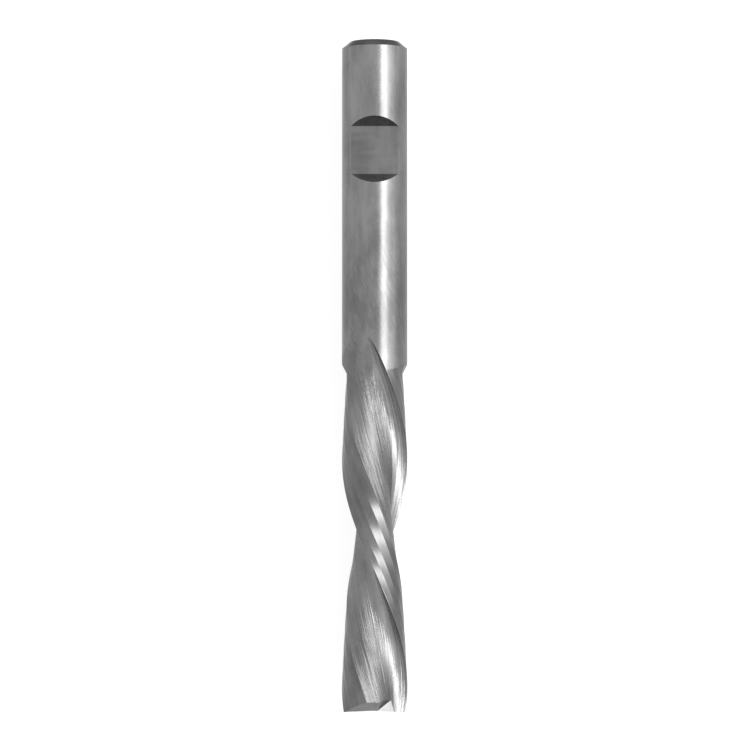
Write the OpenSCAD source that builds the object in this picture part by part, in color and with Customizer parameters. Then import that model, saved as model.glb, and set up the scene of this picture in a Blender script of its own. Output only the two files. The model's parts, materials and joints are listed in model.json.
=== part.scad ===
// Two-flute spiral end mill with a clamping flat, ground from one steel bar.
// The tool lies on its side as it rests on a bench: shank end to +Y, cutting end to -Y,
// clamping flat up. The origin is under the middle of the tool, on the surface it lies on.

/* [Shank] */
// Whole length, from the cutting corners to the end of the shank
overall_len = 123; // [118:0.5:140]
// Diameter of the shank
shank_d = 12; // [11.8:0.05:13]
// Width of the chamfer at the end of the shank, across the shank
shank_chamfer = 1.4; // [0.4:0.1:2]
// Length of that chamfer along the shank
chamfer_len = 1.2; // [0.4:0.1:2]

/* [Clamping flat] */
// Depth of the flat under the shank's surface
flat_depth = 1.8; // [0.8:0.1:2.4]
// Length of the flat's floor
flat_len = 8.8; // [5:0.1:14]
// Distance from the end of the shank to the middle of the flat
flat_from_end = 20.4; // [12:0.1:26]
// Slope of the flat's two end walls
flat_wall_angle = 46.5; // [35:0.5:70]

/* [Cutting length] */
// Diameter over the two cutting edges
cutting_d = 11.95; // [11:0.05:12]
// Length of the lands, from the cutting corners to the shoulder
cutting_len = 61.9; // [50:0.1:70]
// Angle of the left-hand spiral to the axis
helix_angle = 24.3; // [15:0.1:35]
// Where the first cutting corner stands round the axis
corner_angle = 199.6; // [0:0.1:359.9]

/* [Lands] */
// Round margin behind each cutting edge
margin_angle = 1; // [0.5:0.5:6]
// Angles that the four relief facets take up, from the edge to the heel
facet_angles = [12.2, 13.8, 18.1, 16.4]; // [8:0.1:20]
// How far the end of each facet lies under the cutting circle
facet_drops = [0.16, 0.31, 0.56, 0.83]; // [0.05:0.01:1.2]
// Slope of the shoulder where the relief runs up to the shank
shoulder_angle = 27; // [15:1:50]

/* [Flutes] */
// Diameter of the core that the flutes leave
core_d = 5.5; // [4:0.1:6.5]
// Rake of the cutting edge, in the plane across the axis
rake_angle = 14; // [4:1:16]
// Angle round the axis from the cutting edge back to the bottom of the flute
root_angle = 34.5; // [30:0.5:42]
// Direction in which the back of the flute meets the heel
back_angle = 7; // [0:1:15]
// How far the back of the flute bulges, as shares of its width at the heel and at the bottom
back_bulge = [0.66, 0.36]; // [0.2:0.01:0.8]
// How far the hook of the flute bulges, as shares of its width at the bottom and at the edge
hook_bulge = [0.36, 0.6]; // [0.2:0.01:0.7]
// Length over which the flutes run out of the bar
runout_len = 13.2; // [9:0.1:16]
// Share of that length in which the flute only grows shallow, before its bottom also swings
runout_delay = 0.25; // [0:0.05:0.5]
// How far the bottom of a flute swings to the cutting edge as it runs out
runout_swing = 27; // [0:1:29]
// How far below the shoulder the run-out starts
runout_lead = 6.9; // [3:0.1:9]

/* [End teeth] */
// Relief behind the end cutting edges
end_relief = 5.5; // [3:0.5:10]
// Width of that relief, up to the steeper clearance
relief_width = 0.9; // [0.4:0.1:1.6]
// Clearance behind the relief
end_clearance = 23; // [15:1:40]
// Dish of the end, which rises from the corners to the axis
end_dish = 3; // [1:0.5:4]
// Rise of the gash's root along the end tooth
gash_rise = 41; // [30:1:50]
// Rise of the gash's floor away from the end tooth
gash_open = 29; // [25:1:42]
// Lean of the gash's wall, a little more than the spiral's so that it clears the cutting edge
gash_lean = 27; // [25:1:34]
// Distance from the axis to where the gash starts
gash_start = 0.15; // [0.1:0.05:1]

/* [Hidden] */

shank_r = shank_d / 2;
cutting_r = cutting_d / 2;
core_r = core_d / 2;
lead = PI * cutting_d / tan(helix_angle);
// The fluted length is ground this much under the shank, so that they meet in a clean step
seam = 0.02;
blank_r = shank_r - seam;
runout_start = cutting_len - runout_lead;
runout_end = runout_start + runout_len;
// The shank's true cylinder starts this far past the run-out, and the fluted length reaches
// this far into the shank
shank_gap = 0.4;
socket_depth = 0.6;
shank_start = runout_end + shank_gap;
// The fluted length starts below the corners, and the end teeth are cut out of it
end_stock = 1.2;
// The rake fades over this length before the run-out and inside the end stock
rake_fade = 4;

// Facets and rings of the fluted surface
facet_step = 6.5;
back_steps = 10;
hook_steps = 8;
ring_len = 1.6;
runout_ring_len = 0.85;

function polar(r, a) = [r * cos(a), r * sin(a)];
function sum_to(list, n) = n < 0 ? 0 : list[n] + sum_to(list, n - 1);
function clamp(v) = min(1, max(0, v));
function smooth(v) = clamp(v) * clamp(v) * (3 - 2 * clamp(v));
function bezier(p, t) =
    pow(1 - t, 3) * p[0] + 3 * pow(1 - t, 2) * t * p[1] + 3 * (1 - t) * t * t * p[2] + pow(t, 3) * p[3];

// The corners of one land, as [angle, radius], from the cutting edge to the heel
land_corners = concat(
    [[0, cutting_r], [margin_angle, cutting_r]],
    [for (i = [0:3]) [margin_angle + sum_to(facet_angles, i), cutting_r - facet_drops[i]]]
);
heel = land_corners[5];

// A point between two corners, on the straight facet that joins them
function facet_point(a, b, t) =
    let (angle = a[0] + (b[0] - a[0]) * t)
    [angle, a[1] * b[1] * sin(b[0] - a[0]) / (a[1] * sin(angle - a[0]) + b[1] * sin(b[0] - angle))];

land = [for (k = [0:4])
    let (a = land_corners[k], b = land_corners[k + 1], steps = ceil((b[0] - a[0]) / facet_step))
    for (i = [0:steps - 1]) facet_point(a, b, i / steps)
];

// The flute between the heel of one tooth and the cutting edge of the next, half a turn on:
// a back that bulges from the heel down to the core, and a hook that rises to the cutting edge
root = polar(core_r, 180 - root_angle);
root_way = polar(1, 90 - root_angle);
heel_point = polar(heel[1], heel[0]);
back_span = norm(heel_point - root);
back_curve = [
    heel_point,
    heel_point - polar(back_bulge[0] * back_span, back_angle),
    root + back_bulge[1] * back_span * root_way,
    root
];
edge_point = [-cutting_r, 0];
hook_span = norm(edge_point - root);
function hook_curve(rake) = [
    root,
    root - hook_bulge[0] * hook_span * root_way,
    edge_point + polar(hook_bulge[1] * hook_span, -rake),
    edge_point
];

function flute(rake) = concat(
    [for (i = [0:back_steps - 1]) bezier(back_curve, i / back_steps)],
    [for (i = [0:hook_steps - 1]) bezier(hook_curve(rake), i / hook_steps)]
);

function rake_at(z) = rake_angle * clamp(min((z + end_stock) / end_stock, (runout_start - z) / rake_fade));

// The run-out: the flute grows shallow by the lift and its bottom swings to the cutting edge
function runout(z) = clamp((z - runout_start) / runout_len);
function lift(z) = (blank_r - core_r) * pow(runout(z), 2);
function swing(z, angle) =
    runout_swing * smooth((runout(z) - runout_delay) / (1 - runout_delay))
    * clamp(min((angle - heel[0]) / (180 - root_angle - heel[0]), (180 - angle) / root_angle));

// The ground bar round the flutes, which the shoulder opens out to the shank
function bar_r(relieved_r, z) = min(blank_r, relieved_r + max(0, z - cutting_len) * tan(shoulder_angle));

function tooth_ring(z) = concat(
    [for (p = land) [p[0], bar_r(p[1], z)]],
    [for (i = [0:back_steps + hook_steps - 1])
        let (
            p = flute(rake_at(z))[i],
            angle = atan2(p[1], p[0]) < 0 ? atan2(p[1], p[0]) + 360 : atan2(p[1], p[0]),
            bar = bar_r(i < back_steps ? heel[1] : cutting_r, z)
        )
        [angle + swing(z, angle), min(bar, norm(p) + lift(z))]
    ]
);

function ring(z) =
    let (tooth = tooth_ring(z), turn = corner_angle - 360 * z / lead)
    [for (half = [0, 180]) for (p = tooth)
        let (q = polar(p[1], p[0] + turn + half)) [q[0], q[1], z]
    ];

function stations(a, b, longest) =
    let (n = ceil((b - a) / longest)) [for (i = [0:n - 1]) a + (b - a) * i / n];

levels = concat(
    [-end_stock],
    stations(0, runout_start, ring_len),
    stations(runout_start, runout_end, runout_ring_len),
    [runout_end, shank_start + socket_depth]
);

// The fluted length as rings of points, each turned on by the spiral, and closed by two fans
module fluted_length() {
    rings = [for (z = levels) ring(z)];
    n = len(rings[0]);
    last = len(levels) - 1;
    tip_hub = n * (last + 1);
    shank_hub = tip_hub + 1;
    points = concat(
        [for (r = rings) each r],
        [[0, 0, levels[0]], [0, 0, levels[last]]]
    );
    sides = [for (j = [0:last - 1]) for (i = [0:n - 1])
        let (a = j * n + i, b = j * n + (i + 1) % n)
        each [[a, a + n, b], [b, a + n, b + n]]
    ];
    tip_fan = [for (i = [0:n - 1]) [tip_hub, i, (i + 1) % n]];
    shank_fan = [for (i = [0:n - 1]) [shank_hub, last * n + (i + 1) % n, last * n + i]];
    polyhedron(points = points, faces = concat(sides, tip_fan, shank_fan));
}

// What is ground away under a plane that rises behind one end cutting edge, from a line at
// this distance behind the edge
module relief_cut(distance, slope) {
    reach = cutting_d;
    translate([cutting_r, distance, distance * tan(end_relief)])
        rotate([slope, end_dish, 0])
            translate([-cutting_r, -reach, -reach])
                cube([reach, 2 * reach, reach]);
}

// The gash in front of one end tooth: a notch with a leaning wall along the end cutting edge,
// whose root rises along the tooth, and a floor that rises from the root away from it
module gash_cut() {
    reach = cutting_d;
    bottom = -2 * reach;
    root_slope = tan(gash_rise);
    floor_slope = tan(gash_open);
    lean = tan(gash_lean);
    along_slope = root_slope * (1 - lean * floor_slope);
    function wall_point(x, z) = [x, -z * lean, z];
    corners = [for (x = [-reach, reach])
        each [
            wall_point(x, bottom),
            wall_point(x, x * root_slope),
            [x, -reach, x * along_slope + reach * floor_slope],
            [x, -reach, bottom]
        ]
    ];
    translate([gash_start, 0, 0])
        polyhedron(
            points = corners,
            faces = [[0, 1, 2, 3], [7, 6, 5, 4], [0, 4, 5, 1], [1, 5, 6, 2], [2, 6, 7, 3], [3, 7, 4, 0]]
        );
}

module clamping_flat() {
    floor_y = shank_r - flat_depth;
    top_y = shank_r + 1;
    run = (top_y - floor_y) / tan(flat_wall_angle);
    translate([-shank_r, 0, overall_len - flat_from_end])
        rotate([90, 0, 90])
            linear_extrude(shank_d)
                polygon([
                    [-floor_y, -flat_len / 2],
                    [-floor_y, flat_len / 2],
                    [-top_y, flat_len / 2 + run],
                    [-top_y, -flat_len / 2 - run]
                ]);
}

module shank() {
    difference() {
        rotate_extrude($fn = 96)
            polygon([
                [0, shank_start],
                [shank_r, shank_start],
                [shank_r, overall_len - chamfer_len],
                [shank_r - shank_chamfer, overall_len],
                [0, overall_len]
            ]);
        clamping_flat();
    }
}

module end_mill() {
    color("silver")
        translate([0, -overall_len / 2, shank_r])
            rotate([-90, 0, 0])
                union() {
                    shank();
                    difference() {
                        fluted_length();
                        for (turn = [corner_angle, corner_angle + 180])
                            rotate([0, 0, turn]) {
                                relief_cut(0, end_relief);
                                relief_cut(relief_width, end_clearance);
                                gash_cut();
                            }
                    }
                }
}

end_mill();
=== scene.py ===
"""A two-flute spiral end mill, ground from one steel bar, lying on a pale studio floor."""

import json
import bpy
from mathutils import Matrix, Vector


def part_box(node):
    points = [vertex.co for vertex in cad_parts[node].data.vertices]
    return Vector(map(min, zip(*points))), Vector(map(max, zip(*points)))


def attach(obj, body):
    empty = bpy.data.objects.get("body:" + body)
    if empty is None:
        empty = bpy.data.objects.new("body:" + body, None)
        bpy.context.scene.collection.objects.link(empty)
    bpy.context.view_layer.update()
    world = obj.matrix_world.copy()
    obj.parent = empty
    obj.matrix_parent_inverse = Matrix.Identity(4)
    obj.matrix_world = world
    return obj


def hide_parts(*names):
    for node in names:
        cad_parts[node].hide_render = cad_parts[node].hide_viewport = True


bl_info = {
    "name": "Spiral end mill",
    "version": (1, 0, 0),
    "blender": (4, 5, 0),
    "location": "View3D > Sidebar > End mill",
    "description": "Grinds a two-flute spiral end mill and lights it in a plain studio",
    "category": "Add Mesh",
}

from math import atan2, ceil, cos, pi, radians, sin, tan

import bpy
from bpy.props import FloatProperty, FloatVectorProperty, IntProperty, PointerProperty
from mathutils import Matrix, Vector

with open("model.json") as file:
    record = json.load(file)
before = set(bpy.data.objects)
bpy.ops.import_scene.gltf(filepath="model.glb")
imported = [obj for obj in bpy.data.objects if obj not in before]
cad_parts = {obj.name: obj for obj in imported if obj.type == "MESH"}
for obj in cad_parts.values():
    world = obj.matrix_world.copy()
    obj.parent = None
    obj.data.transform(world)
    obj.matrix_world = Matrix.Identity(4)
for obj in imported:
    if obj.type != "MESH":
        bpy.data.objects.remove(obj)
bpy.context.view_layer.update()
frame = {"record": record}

MM = 0.001
MILL_LOW, MILL_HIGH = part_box("end_mill")
OVERALL_MM = round((MILL_HIGH[1] - MILL_LOW[1]) / MM, 2)
SHANK_MOUNT = next(mount for mount in frame["record"]["mounts"] if mount["name"] == "shank")


# Properties

def length(name, millimetres, description):
    return FloatProperty(name=name, description=description, default=millimetres * MM, unit="LENGTH")


def angle(name, degrees, description):
    return FloatProperty(name=name, description=description, default=radians(degrees), subtype="ANGLE")


def number(name, value, description):
    return FloatProperty(name=name, description=description, default=value)


def count(name, value, description):
    return IntProperty(name=name, description=description, default=value)


class EndMillSizes(bpy.types.PropertyGroup):
    """The sizes that the tool is ground to."""
    overall_len: length("Overall length", OVERALL_MM, "From the cutting corners to the shank's end")
    shank_d: length("Shank diameter", 2 * SHANK_MOUNT["dims"]["r_mm"], "Diameter of the shank")
    shank_chamfer: length("Shank chamfer", 1.4, "Width of the chamfer at the end of the shank")
    chamfer_len: length("Chamfer length", 1.2, "Length of that chamfer along the shank")
    flat_depth: length("Flat depth", 1.8, "Depth of the clamping flat under the shank")
    flat_len: length("Flat length", 8.8, "Length of the flat's floor")
    flat_from_end: length("Flat from end", 20.4, "From the end of the shank to the flat's middle")
    flat_wall_angle: angle("Flat wall angle", 46.5, "Slope of the flat's two end walls")
    cutting_d: length("Cutting diameter", 11.95, "Diameter over the two cutting edges")
    cutting_len: length("Cutting length", 61.9, "Length of the lands up to the shoulder")
    helix_angle: angle("Helix angle", 24.3, "Angle of the left-hand spiral to the axis")
    corner_angle: angle("Corner angle", 199.6, "Where the first cutting corner stands")
    margin_angle: angle("Margin", 1, "Round margin behind each cutting edge")
    facet_angles: FloatVectorProperty(
        name="Facet angles", description="Angles that the four relief facets take up", size=4,
        default=[radians(a) for a in (12.2, 13.8, 18.1, 16.4)], unit="ROTATION")
    facet_drops: FloatVectorProperty(
        name="Facet drops", description="How far each facet's end lies under the cutting circle",
        size=4, default=[d * MM for d in (0.16, 0.31, 0.56, 0.83)], unit="LENGTH")
    shoulder_angle: angle("Shoulder angle", 27, "Slope where the relief runs up to the shank")
    core_d: length("Core diameter", 5.5, "Diameter of the core that the flutes leave")
    rake_angle: angle("Rake", 14, "Rake of the cutting edge, across the axis")
    root_angle: angle("Root angle", 34.5, "From the cutting edge back to the flute's bottom")
    back_angle: angle("Back angle", 7, "Direction in which the flute's back meets the heel")
    back_bulge: FloatVectorProperty(
        name="Back bulge", description="Bulge of the flute's back at the heel and the bottom",
        size=2, default=(0.66, 0.36))
    hook_bulge: FloatVectorProperty(
        name="Hook bulge", description="Bulge of the flute's hook at the bottom and the edge",
        size=2, default=(0.36, 0.6))
    runout_len: length("Run-out", 13.2, "Length over which the flutes run out of the bar")
    runout_delay: number("Run-out delay", 0.25, "Share of the run-out before its bottom swings")
    runout_swing: angle("Run-out swing", 27, "How far the flute's bottom swings to the edge there")
    runout_lead: length("Run-out lead", 6.9, "How far below the shoulder the run-out starts")
    end_relief: angle("End relief", 5.5, "Relief behind the end cutting edges")
    relief_width: length("Relief width", 0.9, "Width of that relief")
    end_clearance: angle("End clearance", 23, "Clearance behind the end relief")
    end_dish: angle("End dish", 3, "Rise of the end from the corners to the axis")
    gash_rise: angle("Gash rise", 41, "Rise of the gash's root along the end tooth")
    gash_open: angle("Gash opening", 29, "Rise of the gash's floor away from the end tooth")
    gash_lean: angle("Gash lean", 27, "Lean of the gash's wall")
    gash_start: length("Gash start", 0.15, "From the axis to where the gash starts")
    margin_steps: count("Margin steps", 2, "Mesh steps across the round margin")
    facet_steps: count("Facet steps", 4, "Mesh steps across each facet")
    back_steps: count("Back steps", 32, "Mesh steps down the flute's back")
    hook_steps: count("Hook steps", 26, "Mesh steps up the flute's hook")


class EndMillFinish(bpy.types.PropertyGroup):
    """The colour and gloss of the ground steel."""
    steel: FloatVectorProperty(
        name="Steel", description="Colour of the ground steel", size=3, min=0.0, max=1.0,
        default=(0.235, 0.235, 0.235), subtype="COLOR")
    roughness: number("Roughness", 0.27, "Roughness of the ground steel")


class EndMillStudio(bpy.types.PropertyGroup):
    """The camera and lights."""
    picture_width: length("Picture width", 137.2, "Width of the picture in the tool's plane")
    picture_aside: length("Picture aside", 0.06, "From the tool's middle to the picture's, across")
    picture_along: length("Picture along", 0.16, "From the tool's middle to the picture's, along")
    camera_distance: length("Camera distance", 1050, "From the camera to the tool")
    camera_tilt: angle("Camera tilt", 4.9, "Tilt of the camera towards the cutting end")
    strip_angle: angle("Strip angle", 33, "Angle of the strip light to the camera")
    strip_width: angle("Strip width", 22, "Width of the strip light, seen from the tool")
    strip_strength: number("Strip strength", 4.6, "Brightness of the strip light")
    front_strength: number("Front light strength", 3.4, "Brightness of the light before the cutting end")
    floor_glow: number("Floor glow", 0.85, "Share of the floor's white that no shadow darkens")


# Section across the tool

def polar(radius, turn):
    return Vector((radius * cos(turn), radius * sin(turn)))


def clamp(value):
    return min(1.0, max(0.0, value))


def smooth(value):
    """Rises from 0 to 1 as the value does, level at both ends."""
    value = clamp(value)
    return value * value * (3 - 2 * value)


def bezier(points, t):
    a, b, c, d = points
    return (1 - t) ** 3 * a + 3 * (1 - t) ** 2 * t * b + 3 * (1 - t) * t * t * c + t ** 3 * d


def facet_point(a, b, t):
    """A point on the straight facet between two corners, as (angle, radius)."""
    turn = a[0] + (b[0] - a[0]) * t
    return turn, a[1] * b[1] * sin(b[0] - a[0]) / (a[1] * sin(turn - a[0]) + b[1] * sin(b[0] - turn))


class Section:
    """The section across the tool at any height over its cutting corners.

    A tooth is one land, from the cutting edge at angle 0 to its heel, and the flute behind it:
    its back from the heel down to the root, and its hook up to the next cutting edge. The bar
    starts end_stock below the corners, the rake fades over rake_fade before the run-out, and
    the points even out round the bar over even_len above it.
    """

    end_stock = 1.2 * MM
    rake_fade = 4 * MM
    even_len = 5 * MM

    def __init__(self, sizes):
        self.sizes = sizes
        self.cutting_r = sizes.cutting_d / 2
        self.shank_r = sizes.shank_d / 2
        self.core_r = sizes.core_d / 2
        self.lead = pi * sizes.cutting_d / tan(sizes.helix_angle)
        self.runout_start = sizes.cutting_len - sizes.runout_lead
        self.runout_end = self.runout_start + sizes.runout_len
        self.even_end = self.runout_end + self.even_len

        corners = self.land_corners()
        self.heel_angle, self.heel_r = corners[-1]
        self.land = self.land_points(corners)
        self.tooth_count = len(self.land) + sizes.back_steps + sizes.hook_steps
        self.root = polar(self.core_r, pi - sizes.root_angle)
        self.root_way = polar(1, pi / 2 - sizes.root_angle)
        self.edge = Vector((-self.cutting_r, 0))

    def land_corners(self):
        """The ends of the margin and of each relief facet, as (angle, radius)."""
        sizes = self.sizes
        corners = [(0.0, self.cutting_r), (sizes.margin_angle, self.cutting_r)]
        for step, drop in zip(sizes.facet_angles, sizes.facet_drops):
            corners.append((corners[-1][0] + step, self.cutting_r - drop))
        return corners

    def land_points(self, corners):
        points = []
        for start, end in zip(corners, corners[1:]):
            steps = self.sizes.facet_steps if points else self.sizes.margin_steps
            points += [facet_point(start, end, i / steps) for i in range(steps)]
        return points

    def back_curve(self):
        sizes = self.sizes
        heel = polar(self.heel_r, self.heel_angle)
        span = (heel - self.root).length
        return (
            heel,
            heel - polar(sizes.back_bulge[0] * span, sizes.back_angle),
            self.root + sizes.back_bulge[1] * span * self.root_way,
            self.root,
        )

    def hook_curve(self, rake):
        bulge = self.sizes.hook_bulge
        span = (self.edge - self.root).length
        return (
            self.root,
            self.root - bulge[0] * span * self.root_way,
            self.edge + polar(bulge[1] * span, -rake),
            self.edge,
        )

    def rake(self, z):
        """The rake angle, which fades below the corners and before the run-out."""
        share = min((z + self.end_stock) / self.end_stock, (self.runout_start - z) / self.rake_fade)
        return self.sizes.rake_angle * clamp(share)

    def runout(self, z):
        return clamp((z - self.runout_start) / self.sizes.runout_len)

    def swing(self, z, turn):
        """How far the run-out turns a point to the edge: most at the root, none at the rims."""
        to_root = pi - self.sizes.root_angle - self.heel_angle
        share = min((turn - self.heel_angle) / to_root, (pi - turn) / self.sizes.root_angle)
        delay = self.sizes.runout_delay
        swung = smooth((self.runout(z) - delay) / (1 - delay))
        return self.sizes.runout_swing * swung * clamp(share)

    def bar_r(self, relieved_r, z):
        """The radius of a relieved place, which the shoulder opens up to the shank's."""
        opened = max(0.0, z - self.sizes.cutting_len) * tan(self.sizes.shoulder_angle)
        return min(self.shank_r, relieved_r + opened)

    def tooth(self, z):
        """One land and the flute behind it, as (angle, radius)."""
        sizes = self.sizes
        ring = [(turn, self.bar_r(radius, z)) for turn, radius in self.land]
        back, hook = self.back_curve(), self.hook_curve(self.rake(z))
        flute = [(bezier(back, i / sizes.back_steps), self.heel_r) for i in range(sizes.back_steps)]
        flute += [(bezier(hook, i / sizes.hook_steps), self.cutting_r) for i in range(sizes.hook_steps)]
        lift = (self.shank_r - self.core_r) * self.runout(z) ** 2
        for point, bar in flute:
            turn = atan2(point.y, point.x) % (2 * pi)
            ring.append((turn + self.swing(z, turn), min(self.bar_r(bar, z), point.length + lift)))
        return ring

    def turn(self, z):
        """How far the spiral has turned the section, up to the end of the run-out."""
        return self.sizes.corner_angle - 2 * pi * min(z, self.runout_end) / self.lead

    def ring(self, z):
        """Both teeth as points across the axis; above the run-out the bar is plain."""
        tooth = self.tooth(min(z, self.runout_end))
        evened = smooth((z - self.runout_end) / self.even_len)
        points = []
        for half in (0, 1):
            for i, (turn, radius) in enumerate(tooth):
                turn += (pi * i / self.tooth_count - turn) * evened
                if z > self.runout_end:
                    radius = self.shank_r
                if z > self.sizes.overall_len - self.sizes.chamfer_len / 2:
                    radius = self.shank_r - self.sizes.shank_chamfer
                points.append(polar(radius, turn + self.turn(z) + pi * half))
        return points

    def levels(self):
        """Heights of the rings: close along the flutes, wide along the shank."""
        chamfer_start = self.sizes.overall_len - self.sizes.chamfer_len
        stretches = (
            (-self.end_stock, 0.0, 0.6 * MM),
            (0.0, self.runout_start, 0.3 * MM),
            (self.runout_start, self.runout_end, 0.2 * MM),
            (self.runout_end, self.even_end, 0.5 * MM),
            (self.even_end, chamfer_start, 3 * MM),
        )
        rounding = 1e-6
        heights = []
        for low, high, spacing in stretches:
            steps = ceil((high - low) / spacing - rounding)
            heights += [low + (high - low) * i / steps for i in range(steps)]
        return heights + [chamfer_start, self.sizes.overall_len]


# Modelling

# The tool's surfaces, which are the indices of its materials, in the order of GRAINS
SHANK, LAND, BACK, HOOK, TEETH, FLAT = range(6)
SMOOTH_ANGLE = radians(8)


def select_only(piece):
    bpy.ops.object.select_all(action="DESELECT")
    piece.select_set(True)
    bpy.context.view_layer.objects.active = piece


def drawn_bar(section, ring_count):
    """A plain open bar: a circle drawn out along the axis in even rings."""
    bpy.ops.object.select_all(action="DESELECT")
    bpy.ops.mesh.primitive_circle_add(
        vertices=2 * section.tooth_count, radius=section.shank_r, location=(0, 0, 0))
    bar = bpy.context.object
    bar.name = bar.data.name = "end_mill_body"
    draw_out = bar.modifiers.new("draw out", "SCREW")
    draw_out.angle = 0.0
    draw_out.screw_offset = section.sizes.overall_len
    draw_out.steps = draw_out.render_steps = ring_count - 1
    bpy.ops.object.modifier_apply(modifier=draw_out.name)
    return bar


def ground_surface(section, step):
    """The surface that a mesh step round one tooth belongs to."""
    if step < len(section.land):
        return LAND
    if step < len(section.land) + section.sizes.back_steps:
        return BACK
    return HOOK


def grind(bar, section, levels):
    """Moves the bar's rings to the tool's section, and gives each face its surface."""
    count_round = 2 * section.tooth_count
    spacing = section.sizes.overall_len / (len(levels) - 1)
    rings = [section.ring(z) for z in levels]
    place = {}
    for vertex in bar.data.vertices:
        level = round(vertex.co.z / spacing)
        step = round(atan2(vertex.co.y, vertex.co.x) / (2 * pi) * count_round) % count_round
        place[vertex.index] = (level, step)
        vertex.co = (*rings[level][step], levels[level])

    slack = 0.002 * MM
    for face in bar.data.polygons:
        face.use_smooth = True
        corners = [place[i] for i in face.vertices]
        lowest = min(level for level, step in corners)
        ground = any(rings[level][step].length < section.shank_r - slack for level, step in corners)
        if levels[lowest] > section.runout_end or not ground:
            face.material_index = SHANK
            continue
        # A face from a tooth's last step to the next tooth's first belongs to the last
        steps = [step % section.tooth_count for level, step in corners]
        past_edge = max(steps) - min(steps) >= section.tooth_count / 2
        face.material_index = ground_surface(section, max(steps) if past_edge else min(steps))


def close_ends(bar, section, bottom, top):
    """Closes the bar at both heights, and gives the two faces their surfaces."""
    slack = 1e-6
    bpy.ops.object.mode_set(mode="EDIT")
    for end_z in (bottom, top):
        bpy.ops.mesh.select_all(action="DESELECT")
        bpy.ops.object.mode_set(mode="OBJECT")
        for vertex in bar.data.vertices:
            vertex.select = abs(vertex.co.z - end_z) < slack
        bpy.ops.object.mode_set(mode="EDIT")
        bpy.ops.mesh.edge_face_add()
    bpy.ops.mesh.select_all(action="SELECT")
    bpy.ops.mesh.normals_make_consistent(inside=False)
    bpy.ops.object.mode_set(mode="OBJECT")
    for face in bar.data.polygons:
        if len(face.vertices) > 4:
            face.material_index = SHANK if face.center.z > section.runout_end else TEETH


def ground_bar(section, materials):
    """The bar with its flutes and lands, still plain at the cutting end."""
    levels = section.levels()
    bar = drawn_bar(section, len(levels))
    for material in materials:
        bar.data.materials.append(material)
    grind(bar, section, levels)
    close_ends(bar, section, levels[0], levels[-1])
    return bar


def prism(name, near, far, material):
    """A cutter drawn between two like outlines."""
    corner_count = len(near)
    bpy.ops.object.select_all(action="DESELECT")
    bpy.ops.mesh.primitive_cylinder_add(vertices=corner_count, radius=1, depth=2, location=(0, 0, 0))
    cutter = bpy.context.object
    cutter.name = name
    for vertex in cutter.data.vertices:
        turn = atan2(vertex.co.y, vertex.co.x) - pi / 2
        outline = far if vertex.co.z > 0 else near
        vertex.co = outline[round(turn / (2 * pi) * corner_count) % corner_count]
    cutter.data.materials.append(material)
    bpy.ops.object.mode_set(mode="EDIT")
    bpy.ops.mesh.select_all(action="SELECT")
    bpy.ops.mesh.normals_make_consistent(inside=False)
    bpy.ops.object.mode_set(mode="OBJECT")
    return cutter


def relief_prism(section, turn, material):
    """What is ground away under one end tooth: a narrow relief and a steeper clearance."""
    sizes = section.sizes
    past_axis = 0.05 * MM
    reach = sizes.cutting_d
    width = sizes.relief_width
    relief, clearance = tan(sizes.end_relief), tan(sizes.end_clearance)
    profile = (
        (-reach, -reach * relief),
        (width, width * relief),
        (reach, width * relief + (reach - width) * clearance),
        (reach, -reach),
        (-reach, -reach),
    )
    place = Matrix.Rotation(turn, 4, "Z")

    def outline(x):
        dish = (section.cutting_r - x) * tan(sizes.end_dish)
        return [place @ Vector((x, y, z + dish)) for y, z in profile]
    return prism("relief", outline(-past_axis), outline(reach), material)


def gash_prism(section, turn, material):
    """The notch in front of one end tooth, with a leaning wall and a rising floor."""
    sizes = section.sizes
    reach = sizes.cutting_d
    root_slope, floor_slope, lean = tan(sizes.gash_rise), tan(sizes.gash_open), tan(sizes.gash_lean)
    along_slope = root_slope * (1 - lean * floor_slope)
    place = Matrix.Rotation(turn, 4, "Z") @ Matrix.Translation((sizes.gash_start, 0, 0))

    def outline(x):
        bottom, root = -2 * reach, x * root_slope
        corners = (
            (x, -bottom * lean, bottom),
            (x, -root * lean, root),
            (x, -reach, x * along_slope + reach * floor_slope),
            (x, -reach, bottom),
        )
        return [place @ Vector(corner) for corner in corners]
    return prism("gash", outline(-reach), outline(reach), material)


def flat_prism(section, material):
    """What is milled away over the clamping flat."""
    sizes = section.sizes
    clear_of_shank = 1 * MM
    floor_y = section.shank_r - sizes.flat_depth
    top_y = section.shank_r + clear_of_shank
    run = (top_y - floor_y) / tan(sizes.flat_wall_angle)
    middle = sizes.overall_len - sizes.flat_from_end
    half = sizes.flat_len / 2
    profile = ((-floor_y, -half), (-floor_y, half), (-top_y, half + run), (-top_y, -half - run))

    def outline(x):
        return [Vector((x, y, middle + z)) for y, z in profile]
    return prism("flat", outline(-sizes.shank_d), outline(sizes.shank_d), material)


def cut(piece, cutters):
    """Takes the cutters out of a piece, whose new faces get the cutters' materials."""
    select_only(piece)
    for cutter in cutters:
        modifier = piece.modifiers.new("cut", "BOOLEAN")
        modifier.operation = "DIFFERENCE"
        modifier.solver = "EXACT"
        modifier.material_mode = "TRANSFER"
        modifier.object = cutter
        bpy.ops.object.modifier_apply(modifier=modifier.name)
        bpy.data.objects.remove(cutter)


def merge_slivers(piece):
    """Merges what the cuts left too close together for a clean surface."""
    same_place, no_size = 0.002 * MM, 0.001 * MM
    select_only(piece)
    bpy.ops.object.mode_set(mode="EDIT")
    bpy.ops.mesh.select_all(action="SELECT")
    bpy.ops.mesh.remove_doubles(threshold=same_place)
    bpy.ops.mesh.dissolve_degenerate(threshold=no_size)
    bpy.ops.object.mode_set(mode="OBJECT")


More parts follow.
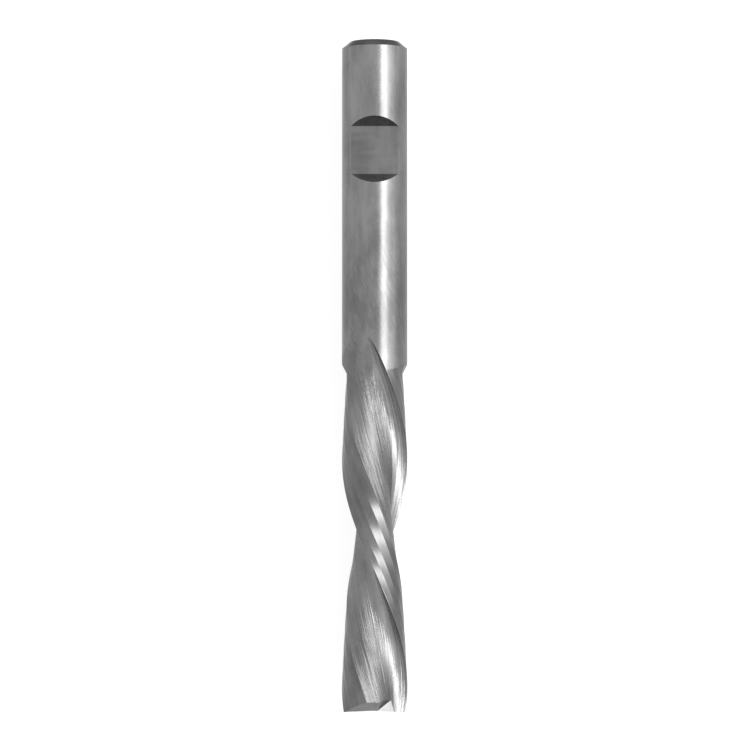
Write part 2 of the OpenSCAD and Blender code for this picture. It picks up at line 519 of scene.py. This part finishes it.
def lay_down(piece, sizes):
    """Turns the upright tool onto its side, flat up, and keeps the place in its mesh."""
    select_only(piece)
    piece.location = (0, -sizes.overall_len / 2, sizes.shank_d / 2)
    piece.rotation_euler = (-pi / 2, 0, 0)
    bpy.ops.object.transform_apply(location=True, rotation=True, scale=True)


# Materials

WHITE = (1, 1, 1, 1)


class Value:
    """A socket of a node tree, on which sums are written as Python expressions."""

    def __init__(self, nodes, socket):
        self.nodes, self.socket = nodes, socket

    def math(self, operation, *operands):
        return self.nodes.node("ShaderNodeMath", dict(enumerate(operands)), operation=operation)

    def __add__(self, other):
        return self.math("ADD", self, other)

    def __radd__(self, other):
        return self.math("ADD", other, self)

    def __sub__(self, other):
        return self.math("SUBTRACT", self, other)

    def __rsub__(self, other):
        return self.math("SUBTRACT", other, self)

    def __mul__(self, other):
        return self.math("MULTIPLY", self, other)

    def __rmul__(self, other):
        return self.math("MULTIPLY", other, self)


class Nodes:
    """The nodes of a material or a world, which one method adds."""

    def __init__(self, owner):
        owner.use_nodes = True
        self.tree = owner.node_tree
        self.tree.nodes.clear()

    def node(self, kind, sockets, output=0, **settings):
        """Adds a node: its settings first, then the values and links of its sockets."""
        node = self.tree.nodes.new(kind)
        for name, value in settings.items():
            setattr(node, name, value)
        for name, source in sockets.items():
            if isinstance(source, Value):
                self.tree.links.new(source.socket, node.inputs[name])
            else:
                node.inputs[name].default_value = source
        return Value(self, node.outputs[output]) if node.outputs else None

    def least(self, a, b):
        return self.node("ShaderNodeMath", {0: a, 1: b}, operation="MINIMUM")


class Shader(Nodes):
    """One material and the patterns that it is drawn from."""

    def __init__(self, name):
        self.material = bpy.data.materials.new(name)
        super().__init__(self.material)

    def ramp(self, source, low, high):
        """0 below low, 1 above high, smooth between."""
        sockets = {"Value": source, "From Min": low, "From Max": high}
        return self.node("ShaderNodeMapRange", sockets, interpolation_type="SMOOTHSTEP")

    def noise(self, vector, stretch, scale, detail=2.0, rough=0.5):
        place = self.node("ShaderNodeVectorMath", {0: vector, 1: stretch}, operation="MULTIPLY")
        sockets = {"Vector": place, "Scale": scale, "Detail": detail, "Roughness": rough}
        return self.node("ShaderNodeTexNoise", sockets, noise_dimensions="3D", noise_type="FBM")

    def tint(self, low, high, factor):
        """The low colour where the factor is 0, and the high one where it is 1."""
        # The Mix node's colour sockets, whose names its other sockets share
        a, b, result = 6, 7, 2
        sockets = {"Factor": factor, a: (*low, 1.0), b: (*high, 1.0)}
        return self.node("ShaderNodeMix", sockets, output=result, data_type="RGBA")

    def glow(self, strength):
        return self.node("ShaderNodeEmission", {"Color": WHITE, "Strength": strength})

    def output(self, surface):
        self.node("ShaderNodeOutputMaterial", {"Surface": surface})
        return self.material


class Grain:
    """How one ground surface is marked: its tone, its lines and its streaks.

    The waves are counted to the millimetre across and along, and the depths are millimetres.
    Some surfaces are scratched near the flutes, and have painted shade there. A flute that is given a
    highlight strength has painted light in its colour: it takes on the shank's tone where it runs out,
    and a painted highlight of that strength half-way up from its bottom.
    """

    def __init__(self, tone, lines, line_depth, streaks=(1, 0.1), streak_depth=0.0, rubbed=0.0,
                 keen=None):
        self.tone = tone
        self.lines, self.line_depth = lines, line_depth
        self.streaks, self.streak_depth = streaks, streak_depth
        self.rubbed = rubbed
        self.keen = keen


# The lands' tone of 0.79 and the flutes' of 0.87 are painted shade, darker than the shank's
GRAINS = {
    "ground_shank": Grain(1.0, (0.3, 4), 0.0002, rubbed=0.5),
    "ground_land": Grain(0.79, (1.2, 0.25), 0.001, (0.8, 0.15), 0.004),
    "ground_flute_back": Grain(0.87, (12, 0.05), 0.055, (2.0, 0.025), 0.17, keen=0.0),
    "ground_flute_hook": Grain(0.87, (12, 0.05), 0.034, (2.0, 0.025), 0.14, keen=0.65),
    "ground_end_teeth": Grain(0.8, (3, 3), 0.0005),
    "milled_flat": Grain(0.75, (0.3, 5), 0.002, (0.15, 1.2)),
}


class GroundSteel(Shader):
    """Mottled steel with grinding marks, which follow the spiral up to the run-out.

    The mottle mixes patches with streak_share of streaks, and takes the steel from its dark
    tone to its pale one. The marks of lands and flutes fade over the last fade_len of the
    run-out.
    """

    patch_stretch, patch_scale = (1, 0.5, 1), 220
    streak_share = 0.3
    dark_mottle, pale_mottle = 0.28, 0.66
    dark_tone, pale_tone = 0.7, 1.11
    roughness_spread = 0.1
    fade_len = 9 * MM
    # Painted shade on the shank next to the flutes, in the mottle's measure, and the scratches' middle
    rubbed_tone, middle_scratch = 0.06, 0.4
    # Painted light in the flutes: highlights in their hollows, shade from the run-out's start, and a
    # brighter colour where they run out
    hollow_shine, runout_dullness, runout_shine = 0.12, 0.17, 0.34

    def __init__(self, name, section, finish, grain):
        super().__init__(name)
        self.section, self.finish, self.grain = section, finish, grain
        self.place = self.node("ShaderNodeTexCoord", {}, output="Object")
        along = self.node("ShaderNodeSeparateXYZ", {"Vector": self.place}, output="Y")
        self.height = along + section.sizes.overall_len / 2
        self.fluted = 1 - self.ramp(self.height, section.runout_end - self.fade_len, section.runout_end)

    def untwisted(self, height):
        """Where a point would be on a straight tool, untwisted by the spiral's turn at a height."""
        sockets = {
            "Vector": self.place,
            "Center": (0, 0, self.section.shank_r),
            "Angle": height * (2 * pi / self.section.lead),
        }
        return self.node("ShaderNodeVectorRotate", sockets, rotation_type="Y_AXIS")

    def waves(self, vector, across, along, detail=2.0):
        """Noise with this many waves to the millimetre across and along the tool."""
        return self.noise(vector, (across, along, across), scale=1 / MM, detail=detail)

    def rubbed_off(self):
        """Scratches that polishing left on the shank next to the flutes, and painted shade that darkens
        it there.
        """
        start = self.section.runout_end
        full, end = start + 4 * MM, start + 26 * MM
        near_flutes = self.ramp(self.height, start - 2 * MM, full) - self.ramp(self.height, full, end)
        scratches = self.waves(self.untwisted(self.height), across=4, along=0.35, detail=3)
        return near_flutes * (self.rubbed_tone + (scratches - self.middle_scratch) * self.grain.rubbed)

    def flute_gain(self):
        """The painted light in the flute's colour, by the distance from the axis and the run-out:
        painted highlights half-way up and in the hollow, painted shade from where the run-out starts,
        and a brighter colour where it runs out.
        """
        section = self.section
        outwards = {0: self.place, 1: (1, 0, 1), 2: (0, 0, -section.shank_r)}
        across = self.node("ShaderNodeVectorMath", outwards, operation="MULTIPLY_ADD")
        radius = self.node("ShaderNodeVectorMath", {0: across}, output="Value", operation="LENGTH")
        core, edge = section.core_r, section.cutting_r
        keen_from, keen_to, hollow_to = 0.6 * edge, 0.7 * edge, 0.85 * edge
        half_way_up = self.ramp(radius, core, keen_from) - 0.5 * self.ramp(radius, keen_to, edge)
        hollow = 1 - self.ramp(radius, core, hollow_to)
        runout = self.ramp(self.height, section.runout_start - 2 * MM, section.runout_start + 4 * MM)
        shine = (half_way_up * self.grain.keen + hollow * self.hollow_shine) * self.fluted
        return shine - self.runout_dullness * runout + (1 - self.fluted) * self.runout_shine + 1

    def toned(self, tone):
        return tuple(value * tone * self.grain.tone for value in self.finish.steel)

    def finished(self):
        """Joins the mottled colour, the gloss and the depth of the marks into the material."""
        grain = self.grain
        ground = self.untwisted(self.least(self.height, self.section.runout_end))
        lines = self.waves(ground, *grain.lines)
        streaks = self.waves(ground, *grain.streaks, detail=3)
        patches = self.noise(self.place, self.patch_stretch, self.patch_scale, detail=5, rough=0.65)

        mottle = patches * (1 - self.streak_share) + streaks * self.streak_share
        # Painted shade: the shank is drawn darker next to the flutes, where it is also scratched
        if grain.rubbed:
            mottle = mottle - self.rubbed_off()
        paleness = self.ramp(mottle, self.dark_mottle, self.pale_mottle)
        steel = self.tint(self.toned(self.dark_tone), self.toned(self.pale_tone), paleness)
        # A flute's colour is scaled by its painted highlights and painted shade
        if grain.keen is not None:
            brightened = {0: steel, "Scale": self.flute_gain()}
            steel = self.node("ShaderNodeVectorMath", brightened, operation="SCALE")

        depth = lines * grain.line_depth + streaks * grain.streak_depth
        if grain.streak_depth:
            depth = depth * self.fluted
        bump = self.node("ShaderNodeBump", {"Height": depth * MM, "Strength": 1.0, "Distance": 1.0})
        return self.output(self.node("ShaderNodeBsdfPrincipled", {
            "Base Color": steel,
            "Metallic": 1.0,
            "Roughness": self.finish.roughness + (patches - 0.5) * self.roughness_spread,
            "Normal": bump,
        }))


class END_MILL_OT_tool(bpy.types.Operator):
    """Grind the end mill and give it its steel."""
    bl_idname = "end_mill.tool"
    bl_label = "Grind the end mill"

    def execute(self, context):
        sizes = context.scene.end_mill_sizes
        finish = context.scene.end_mill_finish
        section = Section(sizes)
        steels = [GroundSteel(name, section, finish, grain).finished() for name, grain in GRAINS.items()]
        mill = ground_bar(section, steels)
        cutters = [flat_prism(section, steels[FLAT])]
        for turn in (sizes.corner_angle, sizes.corner_angle + pi):
            cutters.append(relief_prism(section, turn, steels[TEETH]))
            cutters.append(gash_prism(section, turn, steels[TEETH]))
        cut(mill, cutters)
        merge_slivers(mill)
        lay_down(mill, sizes)
        bpy.ops.object.shade_smooth_by_angle(angle=SMOOTH_ANGLE)
        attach(mill, "root")
        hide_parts("end_mill")
        return {"FINISHED"}


# Studio

FLOOR_SIZE = 6.0
FLOOR_GREY = (0.3, 0.3, 0.3, 1)
ROOM_LIGHT = 0.65
LIGHT_DISTANCE = 0.6
STRIP_LEN = 2.0
FRONT_WAY = (0.5, -0.73, 0.47)
FRONT_WIDTH = radians(25)
FRONT_LEN = 0.27
SENSOR_WIDTH = 36.0
VIEW_DEPTH = 20.0

# How far aside, how wide and how bright each strip is, in the strip light's widths and strengths
STRIPS = {
    "strip_light": (0.0, 1.0, 1.0),
    "inner_fade": (0.82, 0.64, 0.3),
    "outer_fade": (1.55, 0.82, 0.16),
}


def floor_material(glow):
    """A matt floor that also glows, so that it is white and the shadow on it stays pale."""
    shader = Shader("studio_floor")
    matt = shader.node("ShaderNodeBsdfDiffuse", {"Color": FLOOR_GREY})
    return shader.output(shader.node("ShaderNodeAddShader", {0: matt, 1: shader.glow(glow)}))


def card_material(name, glow):
    """The even glow of a card that stands for a darker part of the room."""
    shader = Shader(name)
    return shader.output(shader.glow(glow))


def set_world(scene):
    """A room that is white to look at, in the steel too, and lights matt surfaces softly."""
    scene.world = bpy.data.worlds.new("studio_world")
    nodes = Nodes(scene.world)
    seen, mirrored, through = (
        nodes.node("ShaderNodeLightPath", {}, output=f"Is {kind} Ray")
        for kind in ("Camera", "Glossy", "Transmission"))
    shown = nodes.least(seen + mirrored + through, 1.0)
    strength = shown * (1 - ROOM_LIGHT) + ROOM_LIGHT
    background = nodes.node("ShaderNodeBackground", {"Color": WHITE, "Strength": strength})
    nodes.node("ShaderNodeOutputWorld", {"Surface": background})


def add_light(name, target, way, width, light_len, strength):
    """A soft light that faces a point from afar, this wide as an angle and this long."""
    light = bpy.data.lights.new(name, "AREA")
    light.shape = "RECTANGLE"
    light.size = 2 * LIGHT_DISTANCE * tan(width / 2)
    light.size_y = light_len
    light.energy = strength * pi * light.size * light.size_y
    lamp = bpy.data.objects.new(name, light)
    way = Vector(way).normalized()
    across = Vector((0, 1, 0)).cross(way).normalized()
    lamp.location = target + LIGHT_DISTANCE * way
    lamp.rotation_euler = Matrix((across, way.cross(across), way)).transposed().to_euler()
    bpy.context.collection.objects.link(lamp)


def add_lights(studio, middle, tip):
    """The strip light beside the camera with its two fades, and the front light."""
    for name, (aside, wide, bright) in STRIPS.items():
        side = studio.strip_angle + aside * studio.strip_width
        add_light(name, middle, (sin(side), 0, cos(side)), wide * studio.strip_width, STRIP_LEN,
                  bright * studio.strip_strength)
    add_light("front_light", tip, FRONT_WAY, FRONT_WIDTH, FRONT_LEN, studio.front_strength)


def add_floor(glow):
    bpy.ops.object.select_all(action="DESELECT")
    bpy.ops.mesh.primitive_plane_add(size=FLOOR_SIZE, location=(0, 0, 0))
    floor = bpy.context.object
    floor.name = "studio_floor"
    floor.data.materials.append(floor_material(glow))


def add_card(name, low, high, glow):
    """A card between two corners, which only the steel's reflections show."""
    over_floor = 0.05 * MM
    bpy.ops.object.select_all(action="DESELECT")
    bpy.ops.mesh.primitive_plane_add(size=1, location=(0, 0, 0))
    card = bpy.context.object
    card.name = name
    for vertex in card.data.vertices:
        # A card without width in x stands up on its y side
        u, v = round(vertex.co.x + 0.5), round(vertex.co.y + 0.5)
        rise = v if low[0] != high[0] else u
        vertex.co = (
            low[0] + (high[0] - low[0]) * u,
            low[1] + (high[1] - low[1]) * v,
            low[2] + (high[2] - low[2]) * rise + over_floor,
        )
    card.data.materials.append(card_material(name, glow))
    card.visible_camera = card.visible_diffuse = card.visible_shadow = False


def add_cards(shank_end):
    """The darker parts of the room, which the steel mirrors: their corners and their glow."""
    past_end = shank_end + 0.005
    for name, low, high, glow in (
        ("shank_card", (-0.04, past_end, 0), (0.04, shank_end + 0.2, 0), 0.3),
        ("tip_card", (-0.25, -0.25, 0), (0.25, -0.25, 0.1), 0.03),
        ("floor_card", (-0.6, -0.24, 0), (0.6, past_end, 0), 0.87),
        ("side_card", (-0.4, -0.6, 0.002), (-0.4, 0.06, 0.4), 0.75),
    ):
        add_card(name, low, high, glow)


def add_camera(scene, studio, middle):
    """A camera that looks down on the tool, from a little on the cutting end's side."""
    lens = bpy.data.cameras.new("studio_camera")
    lens.sensor_width = SENSOR_WIDTH
    lens.lens = SENSOR_WIDTH * studio.camera_distance / studio.picture_width
    lens.clip_end = VIEW_DEPTH
    camera = bpy.data.objects.new("studio_camera", lens)
    tilt = studio.camera_tilt
    target = middle + Vector((studio.picture_aside, studio.picture_along, 0))
    camera.location = target + studio.camera_distance * Vector((0, -sin(tilt), cos(tilt)))
    camera.rotation_euler = (tilt, 0, 0)
    bpy.context.collection.objects.link(camera)
    scene.camera = camera


class END_MILL_OT_stage(bpy.types.Operator):
    """Set the floor, the lights and the camera."""
    bl_idname = "end_mill.stage"
    bl_label = "Set the studio"

    def execute(self, context):
        scene = context.scene
        studio = scene.end_mill_studio
        sizes = scene.end_mill_sizes
        middle = Vector((0, 0, sizes.shank_d / 2))
        shank_end = sizes.overall_len / 2
        add_floor(studio.floor_glow)
        add_lights(studio, middle, middle - Vector((0, shank_end, 0)))
        add_cards(shank_end)
        add_camera(scene, studio, middle)
        set_world(scene)
        scene.view_settings.view_transform = "Standard"
        return {"FINISHED"}


class END_MILL_PT_panel(bpy.types.Panel):
    """Lists the end mill's operators and properties."""
    bl_label = "End mill"
    bl_idname = "END_MILL_PT_panel"
    bl_space_type = "VIEW_3D"
    bl_region_type = "UI"
    bl_category = "End mill"

    def draw(self, context):
        column = self.layout.column()
        for operator in (END_MILL_OT_tool, END_MILL_OT_stage):
            column.operator(operator.bl_idname)
        for group in PROPERTY_GROUPS:
            holder = getattr(context.scene, group)
            for name in holder.__annotations__:
                column.prop(holder, name)


# Add-on

PROPERTY_GROUPS = {
    "end_mill_sizes": EndMillSizes,
    "end_mill_finish": EndMillFinish,
    "end_mill_studio": EndMillStudio,
}
CLASSES = (*PROPERTY_GROUPS.values(), END_MILL_OT_tool, END_MILL_OT_stage, END_MILL_PT_panel)


def register():
    for cls in CLASSES:
        bpy.utils.register_class(cls)
    for name, group in PROPERTY_GROUPS.items():
        setattr(bpy.types.Scene, name, PointerProperty(type=group))


def unregister():
    for name in PROPERTY_GROUPS:
        delattr(bpy.types.Scene, name)
    for cls in reversed(CLASSES):
        bpy.utils.unregister_class(cls)


def main():
    register()
    bpy.ops.end_mill.tool()
    bpy.ops.end_mill.stage()


if __name__ == "__main__":
    main()
